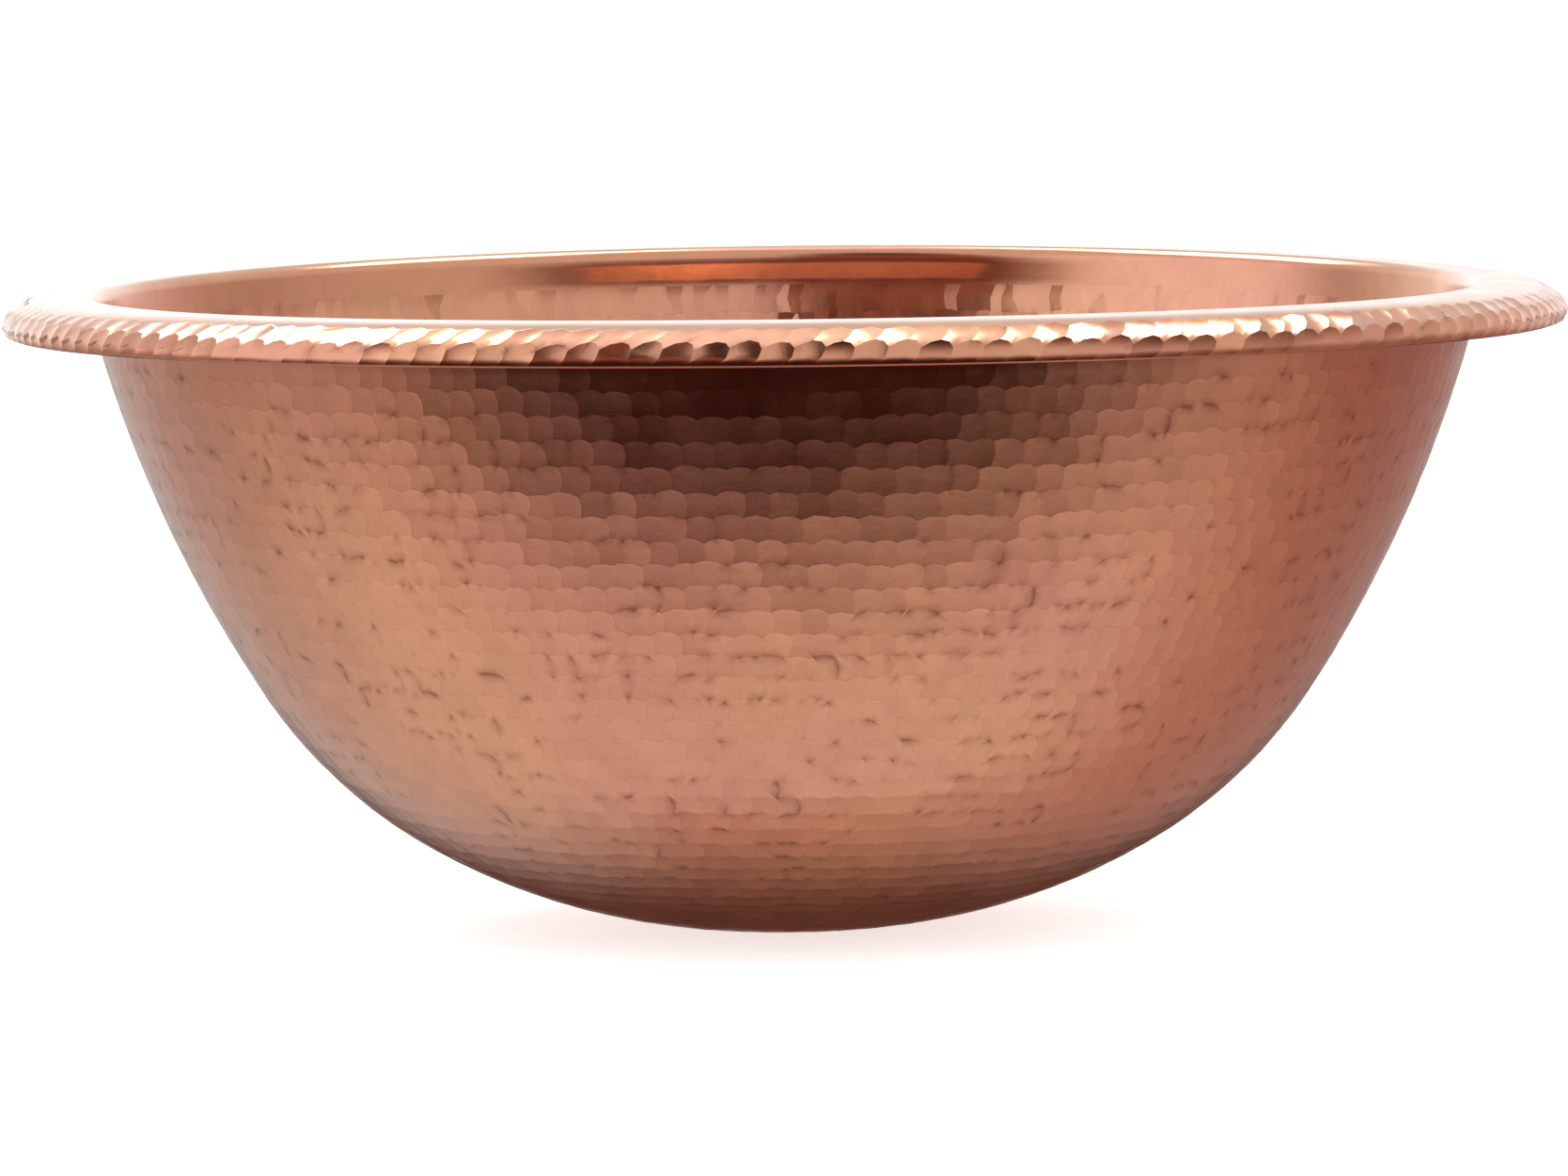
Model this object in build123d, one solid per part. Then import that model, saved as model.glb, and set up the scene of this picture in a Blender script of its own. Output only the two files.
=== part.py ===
from build123d import *
import os
from math import asin, cos, degrees, radians, sin

# A round hammered copper bowl, raised from one sheet. The wall turns outward into a flat flange,
# the flange's edge is turned down into a lip, and the lip's edge is wrapped round a wire.
# +Z is up, along the bowl's axis. The origin is the middle of the flat the bowl stands on.
# Lengths are in millimetres, angles in degrees.

# ---- Driving dimensions
RIM_DIAMETER = 432.0        # over the lip, about 17 in
HEIGHT = 178.0              # from the table to the flange's top, about 7 in
SHEET = 1.3                 # 16 gauge copper
WIRE_DIAMETER = 3.0         # stiffening wire wrapped in the lip's edge
WIRE_CLEARANCE = 0.05       # between the wire and the copper round it

# ---- Outside of the wall: four tangent arcs from a small flat up to the flange
FLAT_RADIUS = 12.0          # the planished flat that the bowl stands on
DOME_RADIUS = 176.0         # the shallow bottom
DOME_LEAN = 60.0            # the wall's lean from vertical where the dome ends
BILGE_RADIUS = 134.0        # the tighter turn between bottom and wall
BILGE_LEAN = 33.0           # the lean where the bilge ends
WALL_RADIUS = 353.0         # the nearly straight upper wall
THROAT_RADIUS = 16.0        # the turn from the wall into the throat, drawn up to stand upright
THROAT_LEAN = 1.0           # the throat's own lean
THROAT_HEIGHT = 5.0         # its straight part, a smooth band under the flange
MOUTH_BEND = 2.6            # under the corner where the wall turns out into the flange

# ---- Lip: a quarter ellipse that turns down, then a curl round the wire
LIP_RUN = 16.0              # how far in from the rim the flange starts to fall
LIP_DROP = 8.2              # from the flange's top to the rim's widest point
CURL_WRAP = 240.0           # how far the edge wraps round the wire

FLANGE_UNDERSIDE = HEIGHT - SHEET
HEM_RADIUS = WIRE_DIAMETER / 2 + WIRE_CLEARANCE
LIP_START_RADIUS = RIM_DIAMETER / 2 - LIP_RUN
LIP_INNER_RADIUS = RIM_DIAMETER / 2 - SHEET
WIRE_RING_RADIUS = LIP_INNER_RADIUS - HEM_RADIUS
WIRE_HEIGHT = HEIGHT - LIP_DROP


def lean_at_throat():
    """The wall's lean from vertical where it meets the throat, so that the flange comes out level."""
    dome_top = DOME_RADIUS * (1 - sin(radians(DOME_LEAN)))
    bilge_top = dome_top + BILGE_RADIUS * (sin(radians(DOME_LEAN)) - sin(radians(BILGE_LEAN)))
    throat_end = sin(radians(THROAT_LEAN))
    straight = THROAT_HEIGHT * cos(radians(THROAT_LEAN))
    rise_of_rest = FLANGE_UNDERSIDE - bilge_top - straight - MOUTH_BEND * (1 - throat_end)
    reach = WALL_RADIUS * sin(radians(BILGE_LEAN)) - THROAT_RADIUS * throat_end - rise_of_rest
    return degrees(asin(reach / (WALL_RADIUS - THROAT_RADIUS)))


WALL_LEAN = lean_at_throat()


def sheet_surface(above):
    """A line through the sheet, this far above its lower surface, as (radius, height).

    It runs from the axis across the base, up the wall, out along the flange, down the lip
    and round the wire. Arcs that curve upward get tighter with the distance, the rest wider.
    """
    flat = Line((0, above), (FLAT_RADIUS, above))
    dome = JernArc(flat @ 1, (1, 0), DOME_RADIUS - above, 90 - DOME_LEAN)
    bilge = JernArc(dome @ 1, dome % 1, BILGE_RADIUS - above, DOME_LEAN - BILGE_LEAN)
    wall = JernArc(bilge @ 1, bilge % 1, WALL_RADIUS - above, BILGE_LEAN - WALL_LEAN)
    upturn = JernArc(wall @ 1, wall % 1, THROAT_RADIUS - above, WALL_LEAN - THROAT_LEAN)
    throat = Line(upturn @ 1, upturn @ 1 + THROAT_HEIGHT * (upturn % 1))
    bend = JernArc(throat @ 1, throat % 1, MOUTH_BEND + above, THROAT_LEAN - 90)
    flange = Line(bend @ 1, (LIP_START_RADIUS, FLANGE_UNDERSIDE + above))
    lip = EllipticalCenterArc(
        (LIP_START_RADIUS, WIRE_HEIGHT),
        LIP_INNER_RADIUS - LIP_START_RADIUS + above,
        FLANGE_UNDERSIDE - WIRE_HEIGHT + above,
        start_angle=90,
        arc_size=-90,
    )
    curl = JernArc(lip @ 1, (0, -1), HEM_RADIUS + above, -CURL_WRAP)
    return [flat, dome, bilge, wall, upturn, throat, bend, flange, lip, curl]


def revolved(section):
    """Turn a (radius, height) section once about the bowl's axis."""
    return revolve(Plane.XZ * section, Axis.Z, 360)


def bowl_shell():
    """The whole copper sheet, from the middle of the base to its curled edge."""
    lower = sheet_surface(0)
    upper = sheet_surface(SHEET)
    cut_edge = Line(lower[-1] @ 1, upper[-1] @ 1)
    on_axis = Line(lower[0] @ 0, upper[0] @ 0)
    return revolved(make_face([*lower, cut_edge, *upper, on_axis]))


def rim_wire():
    """The closed steel ring inside the curl."""
    ring_section = Pos(WIRE_RING_RADIUS, WIRE_HEIGHT) * Circle(WIRE_DIAMETER / 2)
    return revolved(ring_section)


os.makedirs("parts", exist_ok=True)
for name, make in {"bowl_shell": bowl_shell, "rim_wire": rim_wire}.items():
    piece = make()
    piece.label = name
    export_step(piece, f"parts/{name}.step")
    box = piece.bounding_box()
    print(name, "volume", round(piece.volume), "mm3, size", box.size, "low", box.min)
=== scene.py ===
import math
import random

import bpy
import numpy as np
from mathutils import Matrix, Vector
from mathutils.geometry import delaunay_2d_cdt


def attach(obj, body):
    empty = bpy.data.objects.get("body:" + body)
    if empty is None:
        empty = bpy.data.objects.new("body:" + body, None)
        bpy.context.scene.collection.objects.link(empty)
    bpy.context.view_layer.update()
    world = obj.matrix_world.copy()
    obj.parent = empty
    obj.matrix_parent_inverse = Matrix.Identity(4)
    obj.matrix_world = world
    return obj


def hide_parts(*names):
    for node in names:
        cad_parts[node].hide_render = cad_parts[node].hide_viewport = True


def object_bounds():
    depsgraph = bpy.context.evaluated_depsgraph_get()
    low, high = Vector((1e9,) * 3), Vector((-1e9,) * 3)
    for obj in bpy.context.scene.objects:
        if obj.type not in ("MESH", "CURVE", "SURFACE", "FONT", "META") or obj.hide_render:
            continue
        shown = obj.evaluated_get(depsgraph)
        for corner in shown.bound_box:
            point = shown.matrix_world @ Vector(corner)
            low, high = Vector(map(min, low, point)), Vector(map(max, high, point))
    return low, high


# The looks of a hammered copper bowl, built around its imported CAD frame.
#
# The bowl is one sheet of copper. Its skin is rebuilt here as one closed mesh: three hammered
# zones (outside of the wall, lip, inside of the wall), where every blow of the hammer is a
# shallow facet of its own shape and tilt, and smooth bands of sheet between them.
# Lengths are in metres, angles in radians unless a name says degrees.

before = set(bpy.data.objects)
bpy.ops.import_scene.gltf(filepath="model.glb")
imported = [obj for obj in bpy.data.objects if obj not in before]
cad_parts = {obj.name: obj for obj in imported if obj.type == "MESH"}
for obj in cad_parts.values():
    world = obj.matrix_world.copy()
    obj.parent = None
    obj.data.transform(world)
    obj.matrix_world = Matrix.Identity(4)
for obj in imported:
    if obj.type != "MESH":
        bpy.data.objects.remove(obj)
cad_low, cad_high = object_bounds()

MM = 0.001
FULL_TURN = 2 * math.pi

# ---- The sheet's section, with the CAD's own dimensions
RIM_RADIUS = cad_high.x
HEIGHT = cad_high.z
SHEET = 1.3 * MM
FLAT_RADIUS = 12 * MM
DOME_RADIUS = 176 * MM
DOME_LEAN = math.radians(60)
BILGE_RADIUS = 134 * MM
BILGE_LEAN = math.radians(33)
WALL_RADIUS = 353 * MM
THROAT_RADIUS = 16 * MM
THROAT_LEAN = math.radians(1)
THROAT_HEIGHT = 5 * MM
MOUTH_BEND = 2.6 * MM
LIP_RUN = 16 * MM
LIP_DROP = 8.2 * MM
CURL_WRAP = math.radians(240)
HEM_RADIUS = 1.55 * MM
SECTION_STEP = 0.1 * MM      # between the points that stand for the section
RIM_WAVE = 0.8 * MM          # the rim of a hand-raised bowl isn't flat: front and back stand higher

# ---- Smooth bands
BAND_SEGMENTS = 320           # round the bowl
BAND_TURN = math.radians(12)  # the most the section turns from one ring to the next
BAND_STEP = 5 * MM            # the most it runs between them
BAND_MARGIN = 1.5 * MM        # the least between a smooth ring and a hammered zone
EASED_LEAN = math.radians(12) # of the throat where it wasn't drawn up all the way
EASED_FROM = math.radians(17) # either side of the back, where the throat starts to ease
EASED_TO = math.radians(30)   # where it's eased all the way

# ---- Where the hammered zones start and end
FIRST_RING = 3.2 * MM         # from the axis, on both sides of the sheet
WALL_MARGIN = 1 * MM          # that the outer blows run on past the wall's end
INSIDE_MARGIN = 1.5 * MM      # and the inner ones
LIP_ZONE_RADIUS = 210.2 * MM  # where the lip's blows start on the flange
LIP_ZONE_RUN = 11.7 * MM      # along the section


class Surface:
    """One side of the sheet as a half section: points from the axis to the curl's end.

    above is the distance from the sheet's lower side, and outward is 1 where open air lies to
    the left of the walk along the section, and -1 where it lies to the right.
    """

    def __init__(self, above, outward):
        self.outward = outward
        self.points = [(0.0, above)]
        self.headings = [0.0]
        flange_underside = HEIGHT - SHEET
        dome_top = DOME_RADIUS * (1 - math.sin(DOME_LEAN))
        bilge_top = dome_top + BILGE_RADIUS * (math.sin(DOME_LEAN) - math.sin(BILGE_LEAN))
        throat_end = math.sin(THROAT_LEAN)
        straight = THROAT_HEIGHT * math.cos(THROAT_LEAN)
        rise_of_rest = flange_underside - bilge_top - straight - MOUTH_BEND * (1 - throat_end)
        reach = WALL_RADIUS * math.sin(BILGE_LEAN) - THROAT_RADIUS * throat_end - rise_of_rest
        wall_lean = math.asin(reach / (WALL_RADIUS - THROAT_RADIUS))
        self.run(FLAT_RADIUS)
        self.arc(DOME_RADIUS - above, math.pi / 2 - DOME_LEAN)
        self.arc(BILGE_RADIUS - above, DOME_LEAN - BILGE_LEAN)
        self.arc(WALL_RADIUS - above, BILGE_LEAN - wall_lean)
        self.wall_end = len(self.points) - 1
        self.arc(THROAT_RADIUS - above, wall_lean - THROAT_LEAN)
        self.run(THROAT_HEIGHT)
        self.arc(MOUTH_BEND + above, THROAT_LEAN - math.pi / 2)
        self.bend_end = len(self.points) - 1
        self.run(RIM_RADIUS - LIP_RUN - self.points[-1][0])
        self.lip(LIP_RUN - SHEET + above, LIP_DROP - SHEET + above)
        self.arc(HEM_RADIUS + above, -CURL_WRAP)
        places = np.array(self.points)
        self.radius, self.height = places[:, 0], places[:, 1]
        steps = np.hypot(np.diff(self.radius), np.diff(self.height))
        self.s = np.concatenate([[0.0], np.cumsum(steps)])
        self.heading = np.array(self.headings)
        self.bend = np.gradient(self.heading, self.s)
        inverse = 1 / np.maximum(self.radius, 0.5 * MM)
        self.t = np.concatenate([[0.0], np.cumsum(steps * (inverse[1:] + inverse[:-1]) / 2)])

    def run(self, length):
        """Goes straight on."""
        x, y = self.points[-1]
        heading = self.headings[-1]
        count = max(1, round(length / SECTION_STEP))
        for i in range(1, count + 1):
            done = length * i / count
            self.points.append((x + done * math.cos(heading), y + done * math.sin(heading)))
            self.headings.append(heading)

    def arc(self, radius, turn):
        """Goes on along an arc, to the left where turn is positive."""
        x, y = self.points[-1]
        start = self.headings[-1]
        side = math.copysign(radius, turn)
        centre = (x - side * math.sin(start), y + side * math.cos(start))
        count = max(4, round(abs(turn) * radius / SECTION_STEP))
        for i in range(1, count + 1):
            heading = start + turn * i / count
            place = (centre[0] + side * math.sin(heading), centre[1] - side * math.cos(heading))
            self.points.append(place)
            self.headings.append(heading)

    def lip(self, run, drop):
        """Goes on along a quarter ellipse, from level to straight down."""
        x, y = self.points[-1]
        count = round((run + drop) / SECTION_STEP)
        for i in range(1, count + 1):
            angle = math.pi / 2 * i / count
            self.points.append((x + run * math.sin(angle), y - drop * (1 - math.cos(angle))))
            self.headings.append(math.atan2(-drop * math.sin(angle), run * math.cos(angle)))

    def at(self, s):
        """Radius, height and heading at s."""
        return (
            np.interp(s, self.s, self.radius),
            np.interp(s, self.s, self.height),
            np.interp(s, self.s, self.heading),
        )

    def t_at(self, s):
        """The walk measured in parts of the radius, so that a strip of t by turn keeps shapes true."""
        return np.interp(s, self.s, self.t)

    def s_at(self, t):
        return np.interp(t, self.t, self.s)

    def s_where(self, radius, after):
        """The first s past point number after where the section reaches this radius."""
        past = np.argmax(self.radius[after:] >= radius)
        return self.s[after + past]

    def place(self, s, turn, proud=0.0):
        """The point in space at s, this far round the bowl, standing proud of the surface."""
        radius, height, heading = self.at(s)
        radius = radius - self.outward * proud * math.sin(heading)
        height = height + self.outward * proud * math.cos(heading)
        return (radius * math.cos(turn), radius * math.sin(turn), height)

    def normal(self, s, turn, slope_along=0.0, slope_round=0.0):
        """The direction that a surface faces which rises by these slopes above this one."""
        heading = self.at(s)[2]
        if self.outward > 0:
            slope_along -= math.tan(self.throat_ease(heading, turn))
        level = -self.outward * math.sin(heading) - slope_along * math.cos(heading)
        upright = self.outward * math.cos(heading) - slope_along * math.sin(heading)
        return Vector(
            (
                level * math.cos(turn) + slope_round * math.sin(turn),
                level * math.sin(turn) - slope_round * math.cos(turn),
                upright,
            )
        ).normalized()

    def throat_ease(self, heading, turn):
        """How much further than its section the throat seems to lean: only the back is upright.

        This turns the shading's normals. The mesh keeps the section all the way round.
        """
        from_back = abs(wrapped(turn - math.pi / 2))
        share = min(1.0, max(0.0, (from_back - EASED_FROM) / (EASED_TO - EASED_FROM)))
        return share * max(0.0, EASED_LEAN - abs(math.pi / 2 - heading))


class Skin:
    """The bowl's mesh as it is put together, with a normal and marks for each corner of a face."""

    def __init__(self):
        self.places = []
        self.stains = []
        self.faces = []
        self.normals = []
        self.crests = []
        self.tones = []

    def point(self, place, stain=0.0):
        self.places.append(place)
        self.stains.append(stain)
        return len(self.places) - 1

    def face(self, corners, outward, tone=0.5):
        """corners holds (point, normal, crest), in order round the turn and then along."""
        ordered = corners if outward < 0 else corners[::-1]
        self.faces.append([c[0] for c in ordered])
        self.normals.extend(c[1] for c in ordered)
        self.crests.extend(c[2] for c in ordered)
        self.tones.append(tone)

    def build(self, name):
        """Makes the object, with its rim's slight wave."""
        places = np.array(self.places)
        turns = np.arctan2(places[:, 1], places[:, 0])
        share = np.clip(places[:, 2] / HEIGHT, 0, 1) ** 3
        places[:, 2] = np.maximum(places[:, 2], 0) - RIM_WAVE * np.cos(2 * turns) * share
        mesh = bpy.data.meshes.new(name)
        mesh.from_pydata(places.tolist(), [], self.faces)
        mesh.shade_smooth()
        mesh.normals_split_custom_set([tuple(n) for n in self.normals])
        # crest marks which side of a seam the later blow's raised edge lies on; the copper uses it
        # only to paint a highlight on that edge and shade on the cut edge.
        for label, domain, values in (
            ("stain", "POINT", self.stains),
            ("crest", "CORNER", self.crests),
            ("tone", "FACE", self.tones),
        ):
            mesh.attributes.new(label, "FLOAT", domain).data.foreach_set("value", values)
        made = bpy.data.objects.new(name, mesh)
        bpy.context.scene.collection.objects.link(made)
        return made


class Zone:
    """A stretch of one surface that is covered with rows of hammer blows."""

    # How a zone is hammered; each zone below changes what differs.
    look = {
        "row": (5.9 * MM, 5.9 * MM),       # height of a row, at the zone's start and end
        "width": (7.6 * MM, 7.6 * MM),     # of a blow
        "scatter": 0.12,                   # of a blow from its place, as a share of its size
        "later": -1,                       # the row struck later is the one before (-1) or after (1)
        "depth": 0.10 * MM,                # of a blow's middle under the smooth surface
        "lean_along": (0.011, 0.011),      # of every blow, as a slope
        "lean_scatter": 0.008,
        "dish": 300 * MM,                  # radius of the hammer's print
        "rounded_along": 0.1,              # share of the surface's own curve that a blow keeps
        "rounded_round": 0.1,
        "slant": 0.0,                      # of the rows' upright seams
        "print": 1.0,                      # radius of a print's edge, as a share of its width
        "straightened": 0.5,               # how far the seams between rows are brought into line
        "stained": 0.19,                   # share of seams that hold dirt
        "grimy": 0.6,                      # the most that the other corners are darkened
        "scalloped": False,                # whether the zone's start follows the prints' round edges
        "relief": 1.0,                     # share of a blow's relief that the mesh itself has
    }
    GHOST_ROWS = 2                         # rows mirrored past each end, so the end seams run level
    OVERLAP = 30 * MM                      # that the strip runs past a full turn at both sides
    NEW_COUNT = 0.02                       # change in a row's blows, as a share, before it restarts
    FEWEST = 6                             # blows in a row
    SCATTER_ALONG = 0.6                    # scatter up and down, as a share of scatter round
    SWELL = 0.12                           # slow waver of the rows, as a share of their height
    MERGE = 0.5 * MM                       # corners closer than this become one
    RIDGE = 0.02 * MM                      # that seams stand proud
    PIT = 0.10 * MM                        # that the dirtiest seams lie deeper
    DEEPEST_BULGE = 0.22                   # of a seam's middle, as a share of its length
    PATCHINESS = 0.7                       # how much the dirt comes and goes round the bowl
    WITHIN_ROW = 0.45                      # dirt in seams within a row, against those between rows

    def __init__(self, surface, start, end, seed, **look):
        self.surface = surface
        self.start, self.end = start, end
        self.random = random.Random(seed)
        self.look = {**Zone.look, **look}
        self.seeds = []
        self.place_blows()
        self.find_corners()

    def between(self, name, s):
        """A pair's value at s, between the zone's start and end."""
        low, high = self.look[name]
        return low + (high - low) * (s - self.start) / (self.end - self.start)

    def place_blows(self):
        """Sets the blows in rows, each half a blow on from the last where they count the same."""
        edges = [self.start]
        while edges[-1] < self.end:
            edges.append(edges[-1] + self.between("row", edges[-1]))
        if edges[-1] - self.end > self.end - edges[-2]:
            edges.pop()
        stretch = (self.end - self.start) / (edges[-1] - self.start)
        edges = [self.start + (e - self.start) * stretch for e in edges]
        waves = [self.random.uniform(0, FULL_TURN) for _ in range(2)]
        count, first = 0, 0.0
        scatter = self.look["scatter"]
        for row, (low, high) in enumerate(zip(edges, edges[1:])):
            middle = (low + high) / 2
            radius = self.surface.at(middle)[0]
            wanted = max(self.FEWEST, round(FULL_TURN * radius / self.between("width", middle)))
            if abs(wanted - count) > max(1, self.NEW_COUNT * count):
                count = wanted
                first = self.random.uniform(0, FULL_TURN)
            first += FULL_TURN / count / 2
            for i in range(count):
                turn = first + FULL_TURN * (i + self.random.gauss(0, scatter)) / count
                swell = math.sin(3 * turn + waves[0]) + math.sin(5 * turn + waves[1])
                swell *= min(1.0, 8 * (middle - self.start) * (self.end - middle)
                             / (self.end - self.start) ** 2)
                strayed = self.random.gauss(0, self.SCATTER_ALONG * scatter)
                s = middle + (high - low) * (strayed + self.SWELL * swell)
                self.seeds.append((turn % FULL_TURN, self.surface.t_at(s), row))
        self.rows = len(edges) - 1

    def strip(self):
        """Every blow as (turn, t, blow), with mirror images past the zone's two ends.

        The strip runs past a full turn at both sides, so that blows meet across the seam.
        """
        ends = (self.surface.t_at(self.start), self.surface.t_at(self.end))
        sheet = []
        for blow, (turn, t, row) in enumerate(self.seeds):
            images = [(t, blow)]
            if row < self.GHOST_ROWS:
                images.append((2 * ends[0] - t, -1 - blow))
            if row >= self.rows - self.GHOST_ROWS:
                images.append((2 * ends[1] - t, -1 - blow - len(self.seeds)))
            radius = self.surface.at(self.surface.s_at(t))[0]
            overlap = min(math.pi, self.OVERLAP / radius)
            for height, name in images:
                sheet.append((turn, height, name))
                if turn < overlap:
                    sheet.append((turn + FULL_TURN, height, name))
                if turn > FULL_TURN - overlap:
                    sheet.append((turn - FULL_TURN, height, name))
        return sheet

    def find_corners(self):
        """Finds where three blows meet, and puts corners that nearly touch together."""
        sheet = self.strip()
        flat = delaunay_2d_cdt([Vector(p[:2]) for p in sheet], [], [], 0, 1e-9)
        points, triangles = flat[0], flat[2]
        names = [sheet[origin[0]][2] for origin in flat[3]]
        ends = (self.surface.t_at(self.start), self.surface.t_at(self.end))
        corner_of, corners, sides = {}, [], {}
        for triangle in triangles:
            met = [names[i] for i in triangle]
            middle = sum(points[i][0] for i in triangle) / 3
            if max(met) < 0 or not -1e-6 < middle < FULL_TURN + 1e-6:
                continue
            key = tuple(sorted(met))
            if key not in corner_of:
                turn, t = circumcentre(*(points[i] for i in triangle))
                if any(-1 - len(self.seeds) < name < 0 for name in met):
                    t = ends[0]
                elif min(met) < 0:
                    t = ends[1]
                else:
                    t += self.look["straightened"] * (self.between_rows(met) - t)
                corner_of[key] = len(corners)
                corners.append((turn % FULL_TURN, min(max(t, ends[0]), ends[1])))
                for side in ((key[0], key[1]), (key[1], key[2]), (key[0], key[2])):
                    sides.setdefault(side, []).append(corner_of[key])
        group = list(range(len(corners)))

        def head(i):
            while group[i] != i:
                i = group[i]
            return i

        for pair in sides.values():
            if len(pair) == 2 and self.apart(corners[pair[0]], corners[pair[1]]) < self.MERGE:
                first, second = sorted(head(i) for i in pair)
                if corners[second][1] in ends:
                    corners[first] = corners[second]
                group[second] = first
        self.corners = corners
        self.ends = ends
        self.outlines = [[] for _ in self.seeds]
        for key, corner in corner_of.items():
            for name in key:
                if name >= 0:
                    self.outlines[name].append(head(corner))
        for blow, outline in enumerate(self.outlines):
            turn, t, _ = self.seeds[blow]

            def angle(corner):
                across = wrapped(corners[corner][0] - turn)
                return math.atan2(corners[corner][1] - t, across)

            self.outlines[blow] = sorted(set(outline), key=angle)

    def between_rows(self, blows):
        """Half way between the two rows that meet where these three blows do."""
        rows = {}
        for blow in blows:
            rows.setdefault(self.seeds[blow][2], []).append(self.seeds[blow][1])
        middles = [sum(row) / len(row) for row in rows.values()]
        return sum(middles) / len(middles)

    def apart(self, first, second):
        """The distance between two corners, in metres."""
        radius = self.surface.at(self.surface.s_at(first[1]))[0]
        return radius * math.hypot(wrapped(first[0] - second[0]), first[1] - second[1])

    def rise(self, blow, turn, s):
        """How far a blow's face stands above the smooth surface at a point, with its slopes."""
        middle_turn, middle_s, lean_along, lean_round, _ = self.blows[blow]
        radius, _, heading = self.surface.at(middle_s)
        along = s - middle_s
        across = radius * wrapped(turn - middle_turn)
        outward = self.surface.outward
        bend_along = -outward * np.interp(middle_s, self.surface.s, self.surface.bend)
        bend_round = -outward * math.sin(heading) / radius
        curve_along = (1 - self.look["rounded_along"]) * bend_along + 1 / self.look["dish"]
        curve_round = (1 - self.look["rounded_round"]) * bend_round + 1 / self.look["dish"]
        proud = -self.look["depth"] + lean_along * along + lean_round * across
        proud += (curve_along * along**2 + curve_round * across**2) / 2
        return proud, lean_along + curve_along * along, lean_round + curve_round * across

    def add_to(self, skin):
        """Adds every blow's facet, and keeps the two end rings for the smooth bands."""
        slant = self.look["slant"]
        self.blows = []
        for turn, t, row in self.seeds:
            lean_along = self.between("lean_along", self.surface.s_at(t))
            lean_along += self.random.gauss(0, self.look["lean_scatter"])
            lean_round = self.random.gauss(0, self.look["lean_scatter"])
            sheared = turn + slant * (t - self.ends[0])
            self.blows.append((sheared, self.surface.s_at(t), lean_along, lean_round, row))
        seams = self.find_seams()
        touching = {}
        for blow, outline in enumerate(self.outlines):
            for corner in outline:
                touching.setdefault(corner, []).append(blow)
        grimy = self.look["grimy"]
        dirt = {corner: grimy * self.random.random() ** 2 for corner in sorted(touching)}
        for seam in sorted(seams):
            dirt[seam] = 0.0
            if self.is_stained(seams[seam]):
                near, far = self.random.sample(seam, 2)
                dirt[near] = self.random.uniform(0.8, 1.0)
                dirt[seam] = self.random.uniform(0.3, 1.0)
                dirt[far] = max(dirt[far], self.random.uniform(0.0, 1.0))
        corner_point, middle_point, rings = {}, {}, ([], [])
        for corner in sorted(touching):
            turn, t = self.corners[corner]
            turn += slant * (t - self.ends[0])
            point = self.settle(skin, turn, t, touching[corner], dirt[corner])
            corner_point[corner] = point
            self.keep_end(rings, t, t, turn, point[0])
        for seam, blows in sorted(seams.items()):
            turn, t = self.bulged(seam, blows)
            ends = [self.corners[c][1] for c in seam]
            turn += slant * (t - self.ends[0])
            point = self.settle(skin, turn, t, blows, dirt[seam])
            middle_point[seam] = point
            self.keep_end(rings, ends[0], ends[1], turn, point[0])
        self.rings = [sorted(ring) for ring in rings]
        for blow, outline in enumerate(self.outlines):
            self.add_facet(skin, blow, outline, seams, corner_point, middle_point)

    def find_seams(self):
        """Each seam between two corners, with the one or two blows that share it."""
        seams = {}
        for blow, outline in enumerate(self.outlines):
            for first, second in zip(outline, outline[1:] + outline[:1]):
                seams.setdefault((min(first, second), max(first, second)), []).append(blow)
        return seams

    def is_stained(self, blows):
        """Seams between rows hold dirt more often than those within a row, and in patches."""
        if len(blows) < 2:
            return False
        turn, s = self.blows[blows[0]][:2]
        ripple = math.sin(4 * turn + 60 * s) * math.sin(7 * turn - 45 * s)
        chance = self.look["stained"] * (1 + self.PATCHINESS * ripple)
        if self.blows[blows[0]][4] == self.blows[blows[1]][4]:
            chance *= self.WITHIN_ROW
        return self.random.random() < chance

    def later_blow(self, blows):
        """Which of two blows was struck later, so that its rounded edge cuts the other."""
        rows = [self.blows[b][4] for b in blows]
        if len(blows) == 1 or rows[0] == rows[1]:
            return min(blows)
        return blows[0] if (rows[0] - rows[1]) * self.look["later"] > 0 else blows[1]

    def bulged(self, seam, blows):
        """The middle of a seam, pushed away from the blow whose round print made it."""
        (turn_a, t_a), (turn_b, t_b) = (self.corners[c] for c in seam)
        across, along = wrapped(turn_b - turn_a), t_b - t_a
        turn, t = turn_a + across / 2, t_a + along / 2
        length = math.hypot(across, along)
        later = self.later_blow(blows)
        away = (wrapped(turn - self.seeds[later][0]), t - self.seeds[later][1])
        facing = 1 if away[0] * -along + away[1] * across > 0 else -1
        radius = self.surface.at(self.surface.s_at(t))[0]
        print_radius = self.look["print"] * self.between("width", self.surface.s_at(t)) / radius
        push = min(length / (8 * print_radius), self.DEEPEST_BULGE)
        if len(blows) == 1 and not (self.look["scalloped"] and t_a == self.ends[0]):
            push = 0.0
        turn -= facing * push * along
        t += facing * push * across
        return turn, t

    def settle(self, skin, turn, t, blows, dirt):
        """Adds a seam's point at the mean height of the facets that meet there."""
        s = self.surface.s_at(t)
        proud = sum(self.rise(blow, turn, s)[0] for blow in blows) / len(blows) + self.RIDGE
        proud *= 0.0 if t >= self.ends[1] else self.look["relief"]
        point = skin.point(self.surface.place(s, turn, proud - self.PIT * dirt), dirt)
        return point, turn, s

    def keep_end(self, rings, t_a, t_b, turn, point):
        """Notes a point of the zone's first or last ring, where both its seam's ends lie on it."""
        for ring, end in zip(rings, self.ends):
            if t_a == end and t_b == end:
                ring.append((turn % FULL_TURN, point))

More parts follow.
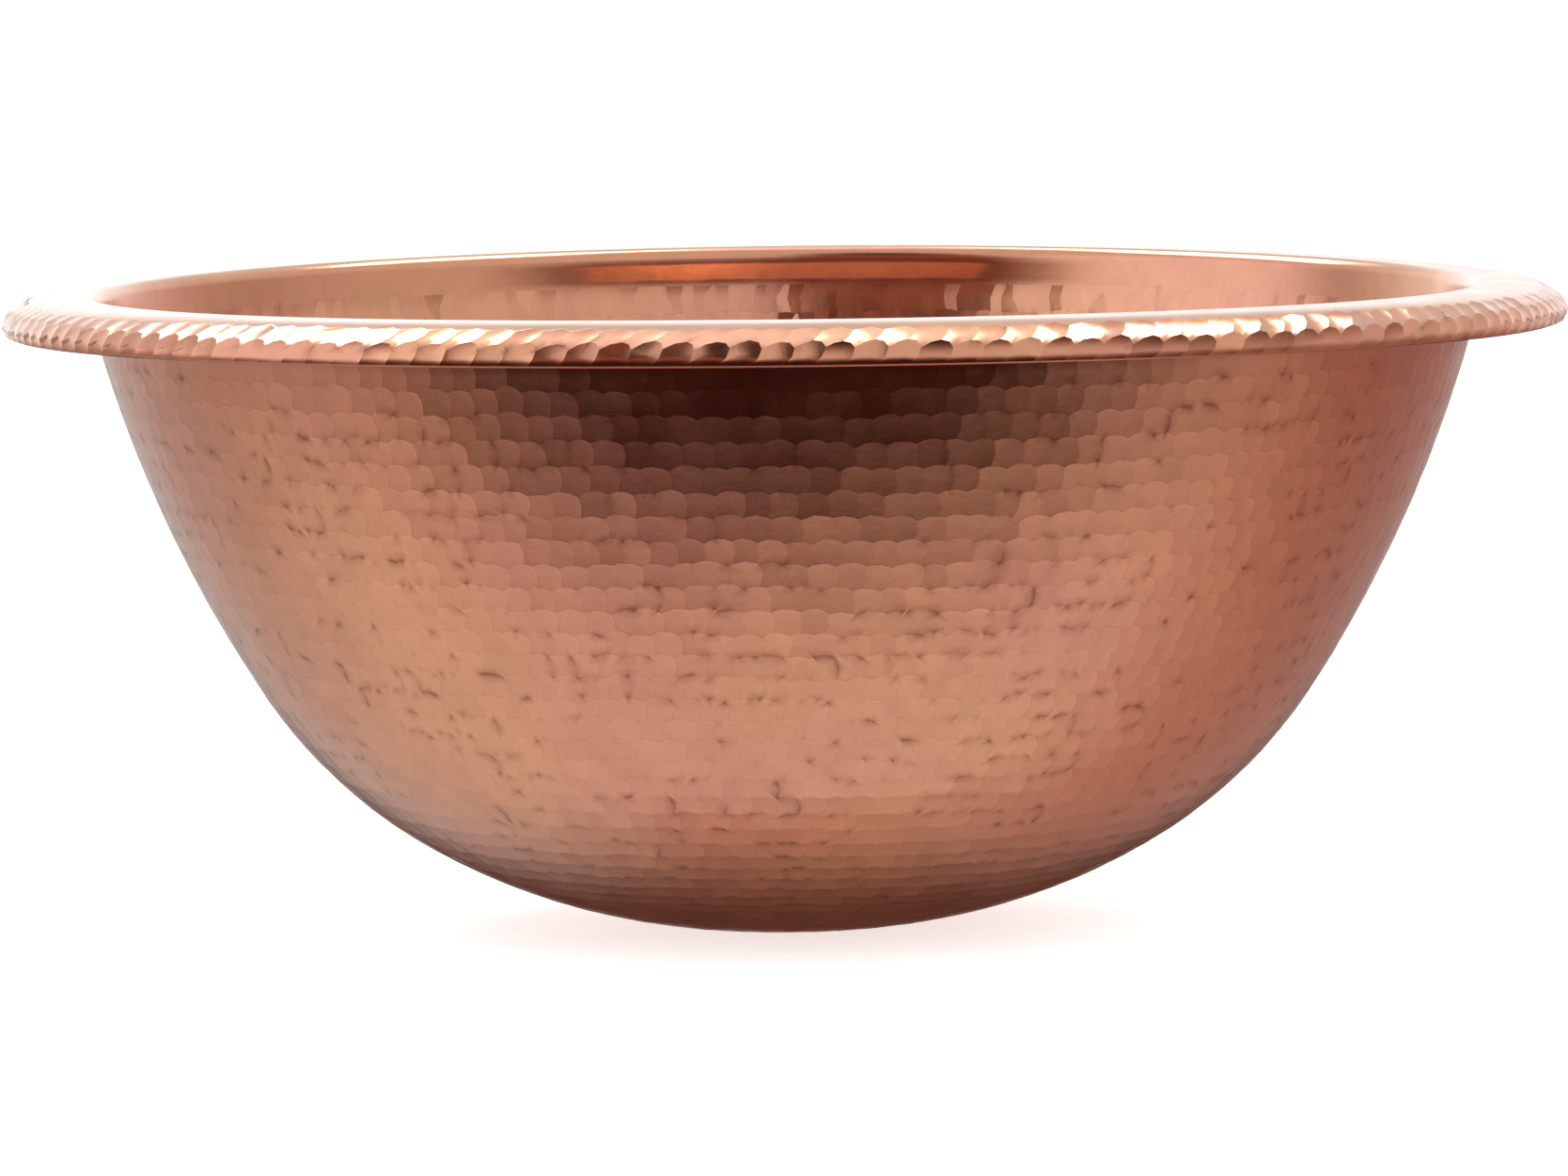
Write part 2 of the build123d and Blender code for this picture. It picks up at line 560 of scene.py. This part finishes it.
    def add_facet(self, skin, blow, outline, seams, corner_point, middle_point):
        """Adds one blow as a fan of triangles, with the blow's own normals, so its edge is crisp."""
        turn, s = self.blows[blow][:2]
        outward = self.surface.outward
        ring = []
        neighbours = zip(outline[-1:] + outline[:-1], outline, outline[1:] + outline[:1])
        for before, corner, after in neighbours:
            sides = [tuple(sorted(pair)) for pair in ((before, corner), (corner, after))]
            crests = [1.0 if self.later_blow(seams[side]) == blow else -1.0 for side in sides]
            ring.append((corner_point[corner], sum(crests) / 2))
            ring.append((middle_point[sides[1]], crests[1]))
        drawn = []
        for (point, at_turn, at_s), crest in ring:
            _, slope_along, slope_round = self.rise(blow, at_turn, at_s)
            facing = self.surface.normal(at_s, at_turn, slope_along, slope_round)
            drawn.append((point, facing, crest))
        proud, slope_along, slope_round = self.rise(blow, turn, s)
        middle = skin.point(self.surface.place(s, turn, proud * self.look["relief"]))
        middle_corner = (middle, self.surface.normal(s, turn, slope_along, slope_round), 0.0)
        tone = self.random.random()
        for first, second in zip(drawn, drawn[1:] + drawn[:1]):
            skin.face([middle_corner, first, second], outward, tone)


def wrapped(turn):
    """An angle brought to between minus and plus half a turn."""
    return (turn + math.pi) % FULL_TURN - math.pi


def circumcentre(a, b, c):
    """The middle of the circle through three points."""
    bx, by = b[0] - a[0], b[1] - a[1]
    cx, cy = c[0] - a[0], c[1] - a[1]
    twice = 2 * (bx * cy - by * cx)
    bb, cc = bx * bx + by * by, cx * cx + cy * cy
    return a[0] + (cy * bb - by * cc) / twice, a[1] + (bx * cc - cx * bb) / twice


def band_stations(surface, start, end):
    """Values of s from start to end, closer together where the section turns sharply."""
    inside = (surface.s > min(start, end)) & (surface.s < max(start, end))
    turned = np.abs(np.diff(surface.heading, prepend=surface.heading[0]))
    stepped = np.diff(surface.s, prepend=0.0)
    used = np.cumsum(np.where(inside, turned / BAND_TURN + stepped / BAND_STEP, 0.0))
    count = max(1, math.ceil(used[-1]))
    wanted = [used[-1] * i / count for i in range(1, count)]
    stations = [float(surface.s[np.argmax(used >= w)]) for w in wanted]
    stations = [s for s in stations if min(abs(s - start), abs(s - end)) > BAND_MARGIN]
    return stations if end > start else stations[::-1]


def band_ring(skin, surface, s):
    """A smooth ring of points at s, as (turn, point)."""
    turns = [FULL_TURN * i / BAND_SEGMENTS for i in range(BAND_SEGMENTS)]
    return [(turn, skin.point(surface.place(s, turn))) for turn in turns]


def join_rings(skin, near, far, along):
    """Joins two rings with triangles. near and far are (surface, s, ring)."""
    sides = []
    for surface, s, ring in (near, far):
        once_more = ring + [(ring[0][0] + FULL_TURN, ring[0][1])]
        sides.append([(turn, (point, surface.normal(s, turn), 0.0)) for turn, point in once_more])
    left, right = sides
    i, j = 0, 0
    while i < len(left) - 1 or j < len(right) - 1:
        right_done = j == len(right) - 1
        step_left = i < len(left) - 1 and (right_done or left[i + 1][0] <= right[j + 1][0])
        if step_left:
            corners = [left[i][1], left[i + 1][1], right[j][1]]
            i += 1
        else:
            corners = [left[i][1], right[j + 1][1], right[j][1]]
            j += 1
        skin.face(corners, along)


def join_chain(skin, chain):
    """Joins each ring of a chain to the next."""
    for near, far in zip(chain, chain[1:]):
        join_rings(skin, near, far, -1)


def close_at_axis(skin, surface, zone):
    """Closes a zone's small middle with one more blow."""
    ring = zone.rings[0]
    middle = skin.point(surface.place(0.0, 0.0, -Zone.look["depth"]))
    centre = (middle, surface.normal(0.0, 0.0), 0.0)
    edge = [(point, surface.normal(zone.start, turn), 0.0) for turn, point in ring]
    for before, after in zip(edge, edge[1:] + edge[:1]):
        skin.face([centre, after, before], surface.outward)


def make_bowl():
    """The whole sheet: three hammered zones and the smooth bands that join them."""
    lower = Surface(0.0, -1)
    upper = Surface(SHEET, 1)
    wall_top = lower.s[lower.wall_end] + WALL_MARGIN
    lip_start = upper.s_where(LIP_ZONE_RADIUS, upper.bend_end)
    lip_end = lip_start + LIP_ZONE_RUN
    inside_top = upper.s[upper.wall_end] + INSIDE_MARGIN
    skin = Skin()

    outside = Zone(lower, FIRST_RING, wall_top, seed=11, row=(6.6 * MM, 7.2 * MM),
                   width=(5.9 * MM, 7.6 * MM))
    lip = Zone(upper, lip_start, lip_end, seed=23, row=(5.2 * MM, 6.6 * MM),
               width=(8.2 * MM, 8.2 * MM), later=1, slant=-0.6, scatter=0.06, depth=0.4 * MM,
               lean_along=(-0.12, 0.46), lean_scatter=0.03, rounded_along=0.2, rounded_round=0.0,
               dish=40 * MM, print=0.62, straightened=0.2, stained=0.25, scalloped=True,
               relief=0.35)
    inside = Zone(upper, FIRST_RING, inside_top, seed=37, row=(6.5 * MM, 8.5 * MM),
                  width=(6.5 * MM, 3.5 * MM), lean_along=(0.006, 0.006), lean_scatter=0.032,
                  print=2.5, stained=0.04)
    for zone in (outside, lip, inside):
        zone.add_to(skin)
    close_at_axis(skin, lower, outside)
    close_at_axis(skin, upper, inside)

    # Under the flange, round the inside of the curl, over the sheet's cut edge and back out.
    chain = [(lower, wall_top, outside.rings[1])]
    for s in band_stations(lower, wall_top, lower.s[-1]) + [lower.s[-1]]:
        chain.append((lower, s, band_ring(skin, lower, s)))
    for s in [upper.s[-1]] + band_stations(upper, upper.s[-1], lip_end):
        chain.append((upper, s, band_ring(skin, upper, s)))
    chain.append((upper, lip_end, lip.rings[1]))
    join_chain(skin, chain)

    # Over the top of the flange and into the mouth.
    chain = [(upper, lip_start, lip.rings[0])]
    for s in band_stations(upper, lip_start, inside_top):
        chain.append((upper, s, band_ring(skin, upper, s)))
    chain.append((upper, inside_top, inside.rings[1]))
    join_chain(skin, chain)
    return skin.build("bowl_copper_shell")


# ---- Node trees

def put(tree, socket, value):
    """Gives a socket a value, or links another node's output to it."""
    if isinstance(value, bpy.types.NodeSocket):
        tree.links.new(value, socket)
    else:
        socket.default_value = value


def calculated(tree, operation, *values):
    """The result of a Math node."""
    node = tree.nodes.new("ShaderNodeMath")
    node.operation = operation
    for socket, value in zip(node.inputs, values):
        put(tree, socket, value)
    return node.outputs[0]


def eased(tree, value, low, high, at_low, at_high):
    """value's place between low and high, eased, as a number between at_low and at_high."""
    node = tree.nodes.new("ShaderNodeMapRange")
    node.interpolation_type = "SMOOTHSTEP"
    for name, given in (("Value", value), ("From Min", low), ("From Max", high),
                        ("To Min", at_low), ("To Max", at_high)):
        put(tree, node.inputs[name], given)
    return node.outputs["Result"]


def blended(tree, share, first, second, blend="MIX"):
    """first and second as one colour."""
    node = tree.nodes.new("ShaderNodeMix")
    node.data_type = "RGBA"
    node.blend_type = blend
    put(tree, node.inputs[0], share)
    put(tree, node.inputs[6], first)
    put(tree, node.inputs[7], second)
    return node.outputs[2]


def dimmed(tree, colour, level):
    """A colour times a grey level."""
    grey = tree.nodes.new("ShaderNodeCombineColor")
    for socket in grey.inputs:
        put(tree, socket, level)
    return blended(tree, 1.0, colour, grey.outputs[0], "MULTIPLY")


def noise(tree, place, per_metre, detail=2.0, roughness=0.5):
    """Noise from 0 to 1 with this many features per metre."""
    node = tree.nodes.new("ShaderNodeTexNoise")
    put(tree, node.inputs["Vector"], place)
    node.inputs["Scale"].default_value = per_metre
    node.inputs["Detail"].default_value = detail
    node.inputs["Roughness"].default_value = roughness
    return node.outputs["Fac"]


def attribute(tree, name):
    """A number that the mesh carries."""
    node = tree.nodes.new("ShaderNodeAttribute")
    node.attribute_name = name
    return node.outputs["Fac"]


def new_material(name):
    """An empty material with a Principled shader, its tree and object coordinates."""
    material = bpy.data.materials.new(name)
    material.use_nodes = True
    tree = material.node_tree
    shader = tree.nodes["Principled BSDF"]
    place = tree.nodes.new("ShaderNodeTexCoord").outputs["Object"]
    return material, tree, shader, place


def bump(tree, shader, height, distance):
    """Lets a height of this many metres tilt the shader's normals."""
    node = tree.nodes.new("ShaderNodeBump")
    node.inputs["Distance"].default_value = distance
    node.inputs["Strength"].default_value = 1.0
    put(tree, node.inputs["Height"], height)
    tree.links.new(node.outputs["Normal"], shader.inputs["Normal"])


# Colours of the copper, and how many features of each kind of noise there are per metre.
ROSE = (0.79, 0.358, 0.240, 1)
GOLD = (0.81, 0.385, 0.230, 1)
DIRT = (0.30, 0.095, 0.05, 1)
PATCH_NOISE = 14
CLOUD_NOISE = 90
WEAR_NOISE = 60
RAGGED_NOISE = 500
TEXTURE_NOISE = 260
COPPER_TEXTURE = 0.03 * MM


def copper():
    """Bare hammered copper: rosy and golden patches, a tone for every blow, dirt in some seams."""
    material, tree, shader, place = new_material("hammered_copper")
    patches = eased(tree, noise(tree, place, PATCH_NOISE, 3.0), 0.38, 0.62, 0.0, 1.0)
    colour = blended(tree, patches, ROSE, GOLD)
    tone = eased(tree, attribute(tree, "tone"), 0.0, 1.0, 0.975, 1.025)
    # Painted light: a painted highlight along each seam's raised edge of the later blow (crest 1), and
    # painted shade on the edge that it cuts (crest -1).
    crest = attribute(tree, "crest")
    painted_edge_highlight = eased(tree, crest, 0.80, 1.0, 1.0, 1.05)
    painted_edge_shade = eased(tree, crest, -1.0, -0.80, 0.90, 1.0)
    cloud = eased(tree, noise(tree, place, CLOUD_NOISE, 4.0, 0.6), 0.25, 0.75, 0.95, 1.05)
    brightness = calculated(tree, "MULTIPLY", tone, cloud)
    brightness = calculated(tree, "MULTIPLY", brightness, painted_edge_highlight)
    brightness = calculated(tree, "MULTIPLY", brightness, painted_edge_shade)
    colour = dimmed(tree, colour, brightness)
    grain = noise(tree, place, RAGGED_NOISE)
    ragged = calculated(tree, "MULTIPLY_ADD", grain, 0.4, -0.2)
    stain = calculated(tree, "ADD", attribute(tree, "stain"), ragged)
    film = eased(tree, stain, 0.15, 0.75, 0.0, 0.24)
    dirt = calculated(tree, "ADD", film, eased(tree, stain, 0.66, 1.0, 0.0, 0.50))
    put(tree, shader.inputs["Base Color"], blended(tree, dirt, colour, DIRT))
    shader.inputs["Metallic"].default_value = 1.0
    worn = eased(tree, noise(tree, place, WEAR_NOISE, 4.0), 0.3, 0.7, 0.13, 0.20)
    put(tree, shader.inputs["Roughness"], calculated(tree, "MULTIPLY_ADD", dirt, 0.10, worn))
    bump(tree, shader, noise(tree, place, TEXTURE_NOISE, 3.0, 0.6), COPPER_TEXTURE)
    return material


DARK_STEEL = (0.30, 0.30, 0.31, 1)
PALE_STEEL = (0.46, 0.46, 0.47, 1)
FILM_NOISE = 150
GRAIN_NOISE = 2000
STEEL_TEXTURE = 0.01 * MM


def drawn_steel():
    """Grey steel wire with a fine grain and a dull film."""
    material, tree, shader, place = new_material("drawn_steel_wire")
    film = noise(tree, place, FILM_NOISE, 3.0)
    shade = eased(tree, film, 0.3, 0.7, 0.0, 1.0)
    put(tree, shader.inputs["Base Color"], blended(tree, shade, DARK_STEEL, PALE_STEEL))
    shader.inputs["Metallic"].default_value = 1.0
    put(tree, shader.inputs["Roughness"], eased(tree, film, 0.3, 0.7, 0.35, 0.5))
    bump(tree, shader, noise(tree, place, GRAIN_NOISE), STEEL_TEXTURE)
    return material


FLOOR_SIZE = 30.0
FLOOR_GREY = (0.90, 0.90, 0.90, 1)
FLOOR_PALE = (0.93, 0.93, 0.925, 1)
FLOOR_NOISE = 3
FLOOR_GLOW = 0.65            # lifts the floor to the paper white of a studio sweep


def plain_floor():
    """A pale floor that the copper doesn't mirror: the surroundings below stand for it there."""
    material, tree, shader, place = new_material("plain_pale_floor")
    shade = noise(tree, place, FLOOR_NOISE)
    put(tree, shader.inputs["Base Color"], blended(tree, shade, FLOOR_GREY, FLOOR_PALE))
    shader.inputs["Roughness"].default_value = 0.8
    shader.inputs["Specular IOR Level"].default_value = 0.0
    shader.inputs["Emission Color"].default_value = (1, 1, 1, 1)
    shader.inputs["Emission Strength"].default_value = FLOOR_GLOW
    bpy.ops.mesh.primitive_plane_add(size=FLOOR_SIZE, location=(0, 0, 0))
    floor = bpy.context.object
    floor.name = "floor"
    floor.data.materials.append(material)
    floor.visible_glossy = False


# ---- The studio, as the copper mirrors it: turn 0 is towards the camera, plus is to the right.

WHITE = (1, 1, 1, 1)
SEEN_WHITE = (1.1, 1.1, 1.1, 1)        # what anything but a mirroring ray meets
ROOM = (0.74, 0.73, 0.73, 1)
FLOOR_EDGE = (0.41, 0.34, 0.31, 1)     # where the room meets the floor
BACK_LOW = (0.57, 0.57, 0.57, 1)       # behind the bowl, under the horizon
DAYLIGHT = (1.25, 1.46, 1.50, 1)       # and over it
CORNER_TINT = (0.73, 0.51, 0.485, 1)
WINDOW_LIGHT = (1.05, 1.10, 1.15, 1)
SHADOW_NEAR = (0.60, 0.47, 0.41, 1)
SHADOW_FAR = (0.11, 0.045, 0.030, 1)
FACE = (0.26, 0.125, 0.085, 1)
HAIR = (0.06, 0.035, 0.03, 1)
WARM_TINT = (1, 0.83, 0.82, 1)
CLOTHES = (0.035, 0.012, 0.010, 1)

# Oval patches: middle and half width of the turn, then of the rise, in degrees, and how far
# out, in half widths, the soft edge starts and ends.
CORNER_PATCH = (138, 62, -28, 50, 0.3, 1.2)
WINDOW_PATCH = (-78, 28, 22, 25, 0.5, 1.4)
HEAD_PATCH = (-20, 20, 14, 42, 0.7, 1.25)
WARM_PATCH = (-2, 74, -22, 33, 0.8, 1.5)
FIGURE_PATCH = (-1, 73, -22, 32, 0.56, 1.42)


def studio_surroundings():
    """A pale studio with a dark figure in front and the bowl's own shadow under and behind it."""
    world = bpy.data.worlds.new("studio")
    bpy.context.scene.world = world
    world.use_nodes = True
    tree = world.node_tree
    background = tree.nodes["Background"]
    direction = tree.nodes.new("ShaderNodeTexCoord").outputs["Generated"]
    split = tree.nodes.new("ShaderNodeSeparateXYZ")
    tree.links.new(direction, split.inputs[0])
    x, y, z = split.outputs
    turn = calculated(tree, "ARCTAN2", x, calculated(tree, "MULTIPLY", y, -1.0))
    rise = calculated(tree, "ARCSINE", z)

    def from_middle(value, middle, half):
        """Squared distance from a middle, in half widths."""
        offset = calculated(tree, "SUBTRACT", value, middle)
        return calculated(tree, "POWER", calculated(tree, "DIVIDE", offset, half), 2.0)

    def lobe(turn_middle, turn_half, rise_middle, rise_half, inner, outer):
        """1 inside an oval patch of the surroundings and 0 outside it, with a soft edge."""
        squares = calculated(
            tree, "ADD",
            from_middle(turn, math.radians(turn_middle), math.radians(turn_half)),
            from_middle(rise, math.radians(rise_middle), math.radians(rise_half)),
        )
        return eased(tree, calculated(tree, "SQRT", squares), inner, outer, 1.0, 0.0)

    def by_rise(low, high, at_low, at_high):
        """A level that changes with the height above the horizon."""
        return eased(tree, rise, math.radians(low), math.radians(high), at_low, at_high)

    # The room: walls that darken towards the floor's edge, brighter behind the bowl.
    off_edge = calculated(tree, "ABSOLUTE", calculated(tree, "ADD", rise, math.radians(7)))
    walls = eased(tree, off_edge, math.radians(4), math.radians(36), 0.0, 1.0)
    room = blended(tree, walls, FLOOR_EDGE, ROOM)
    above = calculated(tree, "ABSOLUTE", calculated(tree, "SUBTRACT", rise, math.radians(36)))
    ceiling = eased(tree, above, math.radians(8), math.radians(24), 0.62, 1.0)
    daylight = blended(tree, by_rise(-8, 2, 0.0, 1.0), BACK_LOW, DAYLIGHT)
    back = dimmed(tree, daylight, ceiling)
    behind = eased(tree, calculated(tree, "ABSOLUTE", turn), math.radians(105),
                   math.radians(165), 0.0, 1.0)
    colour = blended(tree, behind, room, back)
    corner = blended(tree, lobe(*CORNER_PATCH), WHITE, CORNER_TINT)
    colour = blended(tree, 1.0, colour, corner, "MULTIPLY")
    colour = blended(tree, lobe(*WINDOW_PATCH), colour, WINDOW_LIGHT)

    # The bowl's shadow on the table, from under it to behind it.
    off_axis = calculated(tree, "ABSOLUTE", x)
    shadow = eased(tree, off_axis, 0.08, 0.38, 1.0, 0.0)
    shadow = calculated(tree, "MULTIPLY", shadow, eased(tree, y, 0.05, 0.25, 0.0, 1.0))
    shadow = calculated(tree, "MULTIPLY", shadow, by_rise(-14, -8, 1.0, 0.0))
    depth = eased(tree, y, 0.12, 0.92, 0.0, 1.0)
    shade = blended(tree, depth, SHADOW_NEAR, SHADOW_FAR)
    colour = blended(tree, shadow, colour, shade)

    # Whoever took the picture, dark against the room.
    head = blended(tree, by_rise(26, 38, 0.0, 1.0), FACE, HAIR)
    colour = blended(tree, lobe(*HEAD_PATCH), colour, head)
    colour = blended(tree, lobe(*WARM_PATCH), colour, WARM_TINT, "MULTIPLY")
    colour = blended(tree, lobe(*FIGURE_PATCH), colour, CLOTHES)

    ray = tree.nodes.new("ShaderNodeLightPath")
    seen = blended(tree, ray.outputs["Is Glossy Ray"], SEEN_WHITE, colour)
    put(tree, background.inputs["Color"], seen)
    background.inputs["Strength"].default_value = 1.0


BOX_DISTANCE = 2.2


def soft_box(name, turn_degrees, rise_degrees, size, watts):
    """A square soft light that faces the bowl."""
    light = bpy.data.lights.new(name, "AREA")
    light.shape = "SQUARE"
    light.size = size
    light.energy = watts
    lamp = bpy.data.objects.new(name, light)
    turn, rise = math.radians(turn_degrees), math.radians(rise_degrees)
    target = Vector((0, 0, HEIGHT / 2))
    level = math.cos(rise)
    away = Vector((math.sin(turn) * level, -math.cos(turn) * level, math.sin(rise)))
    lamp.location = target + BOX_DISTANCE * away
    lamp.rotation_euler = away.to_track_quat("Z", "Y").to_euler()
    bpy.context.scene.collection.objects.link(lamp)


CAMERA_DISTANCE = 14 * RIM_RADIUS
CAMERA_OVER_RIM = 0.7411 * RIM_RADIUS
CAMERA_PITCH = 0.0807        # down from level
CAMERA_ROLL = 0.0113
CAMERA_YAW = -0.00055
LENS = 251.6                 # in mm, like the sensor
SENSOR = 36


def add_camera():
    """A long lens a little above the rim, with the slight tilt of a hand-held frame."""
    data = bpy.data.cameras.new("camera")
    data.lens = LENS
    data.sensor_width = SENSOR
    data.clip_end = 100
    camera = bpy.data.objects.new("camera", data)
    camera.location = (0, -CAMERA_DISTANCE, HEIGHT + CAMERA_OVER_RIM)
    camera.rotation_euler = (math.pi / 2 - CAMERA_PITCH, CAMERA_ROLL, CAMERA_YAW)
    bpy.context.scene.collection.objects.link(camera)
    bpy.context.scene.camera = camera


bowl = make_bowl()
bowl.data.materials.append(copper())
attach(bowl, "root")
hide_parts("bowl_shell")

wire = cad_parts["rim_wire"]
wire.data.materials.clear()
wire.data.materials.append(drawn_steel())

plain_floor()
studio_surroundings()
soft_box("soft_box_left", -145, 50, 1.0, 14)
soft_box("soft_box_right", 142, 61, 0.8, 10)
add_camera()
bpy.context.scene.view_settings.view_transform = "Standard"
